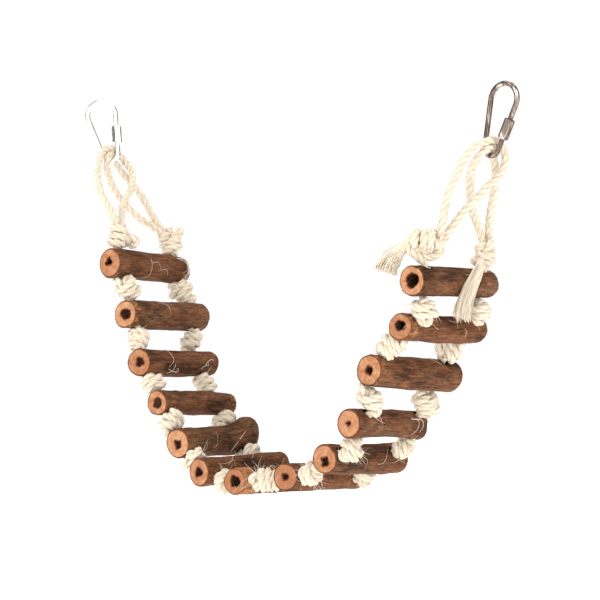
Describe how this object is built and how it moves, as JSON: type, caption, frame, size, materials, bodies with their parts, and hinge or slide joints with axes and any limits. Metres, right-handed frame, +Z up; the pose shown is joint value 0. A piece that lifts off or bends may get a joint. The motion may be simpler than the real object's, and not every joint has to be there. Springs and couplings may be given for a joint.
{
  "type": "rope ladder",
  "caption": "Short rope ladder of bark-covered branch rungs on two knotted sisal ropes, hung in a U between two pear-shaped screw links.",
  "frame": {"origin": "where the left hook bears inside the head of the left screw link", "axes": "+X along the span to the right link, +Y along the rungs from their near ends to their far ends, +Z up"},
  "size_m": [0.3653, 0.0937, 0.2827],
  "materials": {
    "bark_wood": "natural bark with sawn end grain, unvarnished",
    "sisal_rope": "three-strand sisal, pale and hairy",
    "nickel_steel": "bright nickel-plated steel wire"
  },
  "bodies": {
    "links": {"left_link": "nickel_steel", "right_link": "nickel_steel"},
    "left_nut": {"left_nut": "nickel_steel"},
    "right_nut": {"right_nut": "nickel_steel"},
    "ropes": {"left_near_crown": "sisal_rope", "left_far_crown": "sisal_rope", "left_near_eye": "sisal_rope", "left_far_eye": "sisal_rope", "near_rope_01": "sisal_rope", "near_rope_02": "sisal_rope", "near_rope_03": "sisal_rope", "near_rope_04": "sisal_rope", "near_rope_05": "sisal_rope", "near_rope_06": "sisal_rope", "near_rope_07": "sisal_rope", "near_rope_08": "sisal_rope", "near_rope_09": "sisal_rope", "near_rope_10": "sisal_rope", "near_rope_11": "sisal_rope", "near_rope_12": "sisal_rope", "near_rope_13": "sisal_rope", "far_rope_01": "sisal_rope", "far_rope_02": "sisal_rope", "far_rope_03": "sisal_rope", "far_rope_04": "sisal_rope", "far_rope_05": "sisal_rope", "far_rope_06": "sisal_rope", "far_rope_07": "sisal_rope", "far_rope_08": "sisal_rope", "far_rope_09": "sisal_rope", "far_rope_10": "sisal_rope", "far_rope_11": "sisal_rope", "far_rope_12": "sisal_rope", "far_rope_13": "sisal_rope", "right_near_eye": "sisal_rope", "right_far_eye": "sisal_rope", "near_tail": "sisal_rope", "far_tail": "sisal_rope", "right_near_crown": "sisal_rope", "right_far_crown": "sisal_rope"},
    "rung_01": {"rung_01": "bark_wood"},
    "rung_02": {"rung_02": "bark_wood"},
    "rung_03": {"rung_03": "bark_wood"},
    "rung_04": {"rung_04": "bark_wood"},
    "rung_05": {"rung_05": "bark_wood"},
    "rung_06": {"rung_06": "bark_wood"},
    "rung_07": {"rung_07": "bark_wood"},
    "rung_08": {"rung_08": "bark_wood"},
    "rung_09": {"rung_09": "bark_wood"},
    "rung_10": {"rung_10": "bark_wood"},
    "rung_11": {"rung_11": "bark_wood"},
    "rung_12": {"rung_12": "bark_wood"},
    "rung_13": {"rung_13": "bark_wood"}
  },
  "joints": [
    {"name": "left_nut_screw", "type": "slide", "parent": "links", "child": "left_nut", "axis": [0.172, -0.0938, -0.9806], "range_m": [-0.009, 0]},
    {"name": "right_nut_screw", "type": "slide", "parent": "links", "child": "right_nut", "axis": [-0.4354, 0.0161, -0.9001], "range_m": [-0.009, 0]},
    {"name": "ladder_swing", "type": "hinge", "parent": "links", "child": "ropes", "pos_m": [0.013, 0, -0.04255], "axis": [0.9981, 0, -0.0619], "range_deg": [-12, 12]},
    {"name": "rung_01_rock", "type": "hinge", "parent": "ropes", "child": "rung_01", "pos_m": [0.05, -0.004, -0.1215], "axis": [-0.0698, 0.9974, -0.0175], "range_deg": [-4.5, 4.5], "stiffness_Nm_per_rad": 0.01},
    {"name": "rung_02_rock", "type": "hinge", "parent": "ropes", "child": "rung_02", "pos_m": [0.06205, 0.001, -0.15648], "axis": [-0.0349, 0.9994, 0], "range_deg": [-4.5, 4.5], "stiffness_Nm_per_rad": 0.01},
    {"name": "rung_03_rock", "type": "hinge", "parent": "ropes", "child": "rung_03", "pos_m": [0.07228, 0.002, -0.18995], "axis": [-0.0698, 0.9976, 0], "range_deg": [-4.5, 4.5], "stiffness_Nm_per_rad": 0.01},
    {"name": "rung_04_rock", "type": "hinge", "parent": "ropes", "child": "rung_04", "pos_m": [0.08878, 0.003, -0.21853], "axis": [-0.0523, 0.9985, -0.0174], "range_deg": [-4.5, 4.5], "stiffness_Nm_per_rad": 0.01},
    {"name": "rung_05_rock", "type": "hinge", "parent": "ropes", "child": "rung_05", "pos_m": [0.10759, 0.002, -0.24442], "axis": [-0.0698, 0.9974, 0.0175], "range_deg": [-4.5, 4.5], "stiffness_Nm_per_rad": 0.01},
    {"name": "rung_06_rock", "type": "hinge", "parent": "ropes", "child": "rung_06", "pos_m": [0.13267, 0.002, -0.26264], "axis": [0.0523, 0.998, 0.0349], "range_deg": [-4.5, 4.5], "stiffness_Nm_per_rad": 0.01},
    {"name": "rung_07_rock", "type": "hinge", "parent": "ropes", "child": "rung_07", "pos_m": [0.16495, -0.001, -0.2695], "axis": [0.0349, 0.9994, 0], "range_deg": [-4.5, 4.5], "stiffness_Nm_per_rad": 0.01},
    {"name": "rung_08_rock", "type": "hinge", "parent": "ropes", "child": "rung_08", "pos_m": [0.20181, 0.002, -0.26628], "axis": [-0.0349, 0.9992, -0.0174], "range_deg": [-4.5, 4.5], "stiffness_Nm_per_rad": 0.01},
    {"name": "rung_09_rock", "type": "hinge", "parent": "ropes", "child": "rung_09", "pos_m": [0.23448, 0.002, -0.25374], "axis": [-0.0174, 0.9997, -0.0174], "range_deg": [-4.5, 4.5], "stiffness_Nm_per_rad": 0.01},
    {"name": "rung_10_rock", "type": "hinge", "parent": "ropes", "child": "rung_10", "pos_m": [0.25711, -0.004, -0.23111], "axis": [-0.0349, 0.9992, -0.0174], "range_deg": [-4.5, 4.5], "stiffness_Nm_per_rad": 0.01},
    {"name": "rung_11_rock", "type": "hinge", "parent": "ropes", "child": "rung_11", "pos_m": [0.27448, 0.001, -0.19844], "axis": [0.0871, 0.9956, -0.0349], "range_deg": [-4.5, 4.5], "stiffness_Nm_per_rad": 0.01},
    {"name": "rung_12_rock", "type": "hinge", "parent": "ropes", "child": "rung_12", "pos_m": [0.29664, 0.001, -0.17007], "axis": [0.0523, 0.9986, 0], "range_deg": [-4.5, 4.5], "stiffness_Nm_per_rad": 0.01},
    {"name": "rung_13_rock", "type": "hinge", "parent": "ropes", "child": "rung_13", "pos_m": [0.30826, -0.004, -0.14133], "axis": [0.0349, 0.9992, 0.0174], "range_deg": [-4.5, 4.5], "stiffness_Nm_per_rad": 0.01}
  ]
}
